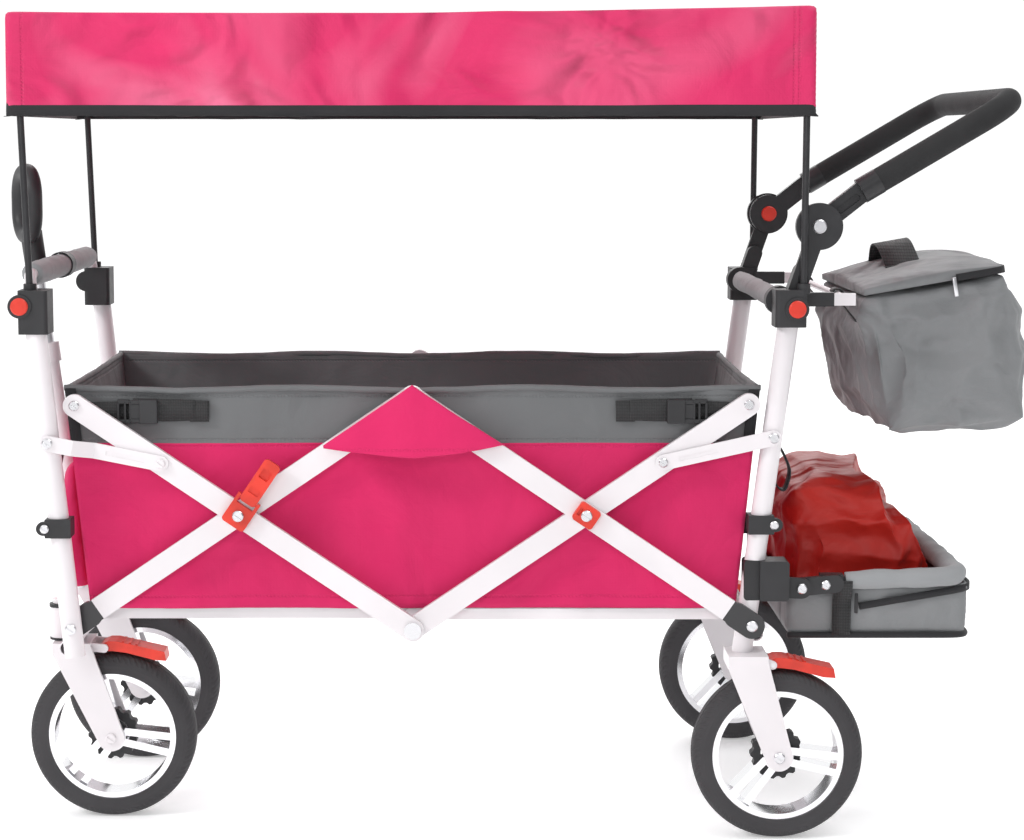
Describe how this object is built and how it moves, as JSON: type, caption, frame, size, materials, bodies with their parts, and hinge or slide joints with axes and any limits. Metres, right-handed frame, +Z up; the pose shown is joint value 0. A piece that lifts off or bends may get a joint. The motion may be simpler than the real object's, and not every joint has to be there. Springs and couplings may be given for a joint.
{
  "type": "folding pull wagon",
  "caption": "Folding fabric pull wagon on a scissor frame, with canopy, swivelling front wheels, pull handle, push handle, rear tray and hanging cooler bag.",
  "frame": {"origin": "on the floor below the middle of the wagon's overall box", "axes": "+X from the pull handle end to the push handle end, +Z up, near side with the latch is -Y"},
  "size_m": [1.2389, 0.55, 0.968],
  "materials": {
    "black_plastic": "matte",
    "black_steel": "satin",
    "black_webbing": "woven",
    "chrome": "polished",
    "foam": "matte foam",
    "grey_fabric": "woven",
    "pink_fabric": "woven",
    "red_fabric": "woven",
    "red_plastic": "semi-gloss",
    "steel": "brushed",
    "tyre": "matte",
    "white_paint": "satin powder coat"
  },
  "bodies": {
    "front": {"front_frame": "white_paint", "front_fittings": "black_plastic", "frame_screws_front": "steel", "front_bumper_pad": "grey_fabric", "end_panel_front": "pink_fabric", "canopy_hoop_front": "black_steel", "tub_sides": "pink_fabric", "tub_floor": "grey_fabric", "tub_flaps": "pink_fabric", "side_straps": "black_webbing", "canopy_cover": "pink_fabric"},
    "bars_b": {"bars_front_rising": "white_paint"},
    "bars_a": {"bars_front_falling": "white_paint", "latch_base": "red_plastic"},
    "latch": {"latch_lever": "red_plastic"},
    "bars_d": {"bars_rear_rising": "white_paint"},
    "bars_c": {"bars_rear_falling": "white_paint", "latch_catch": "red_plastic"},
    "rear": {"rear_frame": "white_paint", "rear_bars": "white_paint", "rear_fittings": "black_plastic", "frame_screws_rear": "steel", "rear_bumper_pad": "grey_fabric", "end_panel_rear": "pink_fabric", "rear_arms": "black_steel", "canopy_hoop_rear": "black_steel", "bag_body": "grey_fabric"},
    "strut_f": {"struts_front": "white_paint"},
    "strut_r": {"struts_rear": "white_paint"},
    "floor_f": {"floor_half_front": "white_paint"},
    "floor_r": {"floor_half_rear": "white_paint"},
    "floor_c": {"floor_centre": "white_paint"},
    "caster_near": {"caster_fork_near": "white_paint"},
    "caster_far": {"caster_fork_far": "white_paint"},
    "pedal_near": {"brake_pedal_near": "red_plastic"},
    "pedal_far": {"brake_pedal_far": "red_plastic"},
    "pedals_rear": {"brake_pedals_rear": "red_plastic"},
    "pull_bar": {"pull_bar_lower": "white_paint"},
    "pull_top": {"pull_bar_upper": "steel", "pull_grip": "black_plastic"},
    "push_handle": {"push_handle_frame": "black_steel", "push_handle_grip": "foam"},
    "tray": {"tray_frame": "black_steel", "tray_fabric": "grey_fabric", "red_cloth": "red_fabric"},
    "lid": {"bag_lid": "grey_fabric"},
    "wheel_front_near": {"tyre_front_near": "tyre", "rim_front_near": "chrome"},
    "wheel_front_far": {"tyre_front_far": "tyre", "rim_front_far": "chrome"},
    "wheel_rear_near": {"tyre_rear_near": "tyre", "rim_rear_near": "chrome"},
    "wheel_rear_far": {"tyre_rear_far": "tyre", "rim_rear_far": "chrome"},
    "button_handle_near": {"button_handle_near": "red_plastic"},
    "button_handle_far": {"button_handle_far": "red_plastic"},
    "button_front_near": {"button_front_near": "red_plastic"},
    "button_front_far": {"button_front_far": "red_plastic"},
    "button_rear_near": {"button_rear_near": "red_plastic"},
    "button_rear_far": {"button_rear_far": "red_plastic"}
  },
  "joints": [
    {"name": "fold", "type": "hinge", "parent": "front", "child": "bars_b", "pos_m": [-0.5069, 0, 0.253], "axis": [0, -1, 0], "range_deg": [0, 40], "deforming": ["tub_sides", "tub_floor", "tub_flaps", "side_straps", "canopy_cover"]},
    {"name": "fold_falling_bars", "type": "hinge", "parent": "bars_b", "child": "bars_a", "pos_m": [-0.31313, 0, 0.38419], "axis": [0, -1, 0], "range_deg": [-80, 0]},
    {"name": "fold_rear_rising_bars", "type": "hinge", "parent": "bars_a", "child": "bars_d", "pos_m": [-0.1119, 0, 0.24794], "axis": [0, -1, 0], "range_deg": [0, 80]},
    {"name": "fold_rear_falling_bars", "type": "hinge", "parent": "bars_b", "child": "bars_c", "pos_m": [-0.1119, 0, 0.52043], "axis": [0, -1, 0], "range_deg": [-80, 0]},
    {"name": "fold_rear_frame", "type": "hinge", "parent": "bars_c", "child": "rear", "pos_m": [0.2831, 0, 0.253], "axis": [0, -1, 0], "range_deg": [0, 40]},
    {"name": "fold_front_struts", "type": "hinge", "parent": "front", "child": "strut_f", "pos_m": [-0.52948, 0, 0.47], "axis": [0, -1, 0], "range_deg": [0, 74.5]},
    {"name": "fold_rear_struts", "type": "hinge", "parent": "rear", "child": "strut_r", "pos_m": [0.30592, 0, 0.473], "axis": [0, -1, 0], "range_deg": [-74.5, 0]},
    {"name": "fold_floor_front", "type": "hinge", "parent": "front", "child": "floor_f", "pos_m": [-0.4769, 0, 0.262], "axis": [0, -1, 0], "range_deg": [0, 74]},
    {"name": "fold_floor_rear", "type": "hinge", "parent": "rear", "child": "floor_r", "pos_m": [0.2531, 0, 0.262], "axis": [0, -1, 0], "range_deg": [-74, 0]},
    {"name": "fold_floor_centre", "type": "hinge", "parent": "bars_a", "child": "floor_c", "pos_m": [-0.1119, 0, 0.24794], "axis": [0, -1, 0], "range_deg": [0, 40]},
    {"name": "latch_lever", "type": "hinge", "parent": "bars_a", "child": "latch", "pos_m": [-0.30164, -0.2555, 0.40116], "axis": [0.8281, 0, -0.5606], "range_deg": [0, 60]},
    {"name": "caster_swivel_near", "type": "hinge", "parent": "front", "child": "caster_near", "pos_m": [-0.5389, -0.14, 0.21], "axis": [0, 0, 1], "continuous": true},
    {"name": "wheel_front_near", "type": "hinge", "parent": "caster_near", "child": "wheel_front_near", "pos_m": [-0.4769, -0.14, 0.1], "axis": [0, 1, 0], "continuous": true},
    {"name": "brake_pedal_near", "type": "hinge", "parent": "caster_near", "child": "pedal_near", "pos_m": [-0.4849, -0.14, 0.208], "axis": [0, -1, 0], "range_deg": [0, 18]},
    {"name": "caster_swivel_far", "type": "hinge", "parent": "front", "child": "caster_far", "pos_m": [-0.5389, 0.14, 0.21], "axis": [0, 0, 1], "continuous": true},
    {"name": "wheel_front_far", "type": "hinge", "parent": "caster_far", "child": "wheel_front_far", "pos_m": [-0.4769, 0.14, 0.1], "axis": [0, 1, 0], "continuous": true},
    {"name": "brake_pedal_far", "type": "hinge", "parent": "caster_far", "child": "pedal_far", "pos_m": [-0.4849, 0.14, 0.208], "axis": [0, -1, 0], "range_deg": [0, 18]},
    {"name": "wheel_rear_near", "type": "hinge", "parent": "rear", "child": "wheel_rear_near", "pos_m": [0.3151, -0.236, 0.1], "axis": [0, 1, 0], "continuous": true},
    {"name": "wheel_rear_far", "type": "hinge", "parent": "rear", "child": "wheel_rear_far", "pos_m": [0.3151, 0.236, 0.1], "axis": [0, 1, 0], "continuous": true},
    {"name": "brake_pedals_rear", "type": "hinge", "parent": "rear", "child": "pedals_rear", "pos_m": [0.3071, 0, 0.208], "axis": [0, -1, 0], "range_deg": [0, 18]},
    {"name": "pull_tilt", "type": "hinge", "parent": "front", "child": "pull_bar", "pos_m": [-0.5339, 0, 0.262], "axis": [0, -1, 0], "range_deg": [0, 60]},
    {"name": "pull_extend", "type": "slide", "parent": "pull_bar", "child": "pull_top", "axis": [-0.1279, 0, 0.9918], "range_m": [0, 0.15]},
    {"name": "push_handle_angle", "type": "hinge", "parent": "rear", "child": "push_handle", "pos_m": [0.3551, 0, 0.717], "axis": [0, -1, 0], "range_deg": [0, 40]},
    {"name": "tray_fold", "type": "hinge", "parent": "rear", "child": "tray", "pos_m": [0.3421, 0, 0.295], "axis": [0, -1, 0], "range_deg": [0, 45], "deforming": ["red_cloth"]},
    {"name": "bag_lid", "type": "hinge", "parent": "rear", "child": "lid", "pos_m": [0.41318, 0, 0.62244], "axis": [0, -1, 0], "range_deg": [0, 45]},
    {"name": "button_handle_near", "type": "slide", "parent": "push_handle", "child": "button_handle_near", "axis": [0, -1, 0], "range_m": [0, 0.002], "stiffness_N_per_m": 150},
    {"name": "button_handle_far", "type": "slide", "parent": "push_handle", "child": "button_handle_far", "axis": [0, 1, 0], "range_m": [0, 0.002], "stiffness_N_per_m": 150},
    {"name": "button_front_near", "type": "slide", "parent": "front", "child": "button_front_near", "axis": [0, 1, 0], "range_m": [0, 0.003], "stiffness_N_per_m": 150},
    {"name": "button_front_far", "type": "slide", "parent": "front", "child": "button_front_far", "axis": [0, -1, 0], "range_m": [0, 0.003], "stiffness_N_per_m": 150},
    {"name": "button_rear_near", "type": "slide", "parent": "rear", "child": "button_rear_near", "axis": [0, 1, 0], "range_m": [0, 0.003], "stiffness_N_per_m": 150},
    {"name": "button_rear_far", "type": "slide", "parent": "rear", "child": "button_rear_far", "axis": [0, -1, 0], "range_m": [0, 0.003], "stiffness_N_per_m": 150}
  ],
  "couplings": [
    {"joint": "fold_falling_bars", "follows": "fold", "ratio": -2},
    {"joint": "fold_rear_rising_bars", "follows": "fold", "ratio": 2},
    {"joint": "fold_rear_falling_bars", "follows": "fold", "ratio": -2},
    {"joint": "fold_rear_frame", "follows": "fold", "ratio": 1},
    {"joint": "fold_front_struts", "follows": "fold", "ratio": 1.8625},
    {"joint": "fold_rear_struts", "follows": "fold", "ratio": -1.8625},
    {"joint": "fold_floor_front", "follows": "fold", "ratio": 1.85},
    {"joint": "fold_floor_rear", "follows": "fold", "ratio": -1.85},
    {"joint": "fold_floor_centre", "follows": "fold", "ratio": 1}
  ]
}
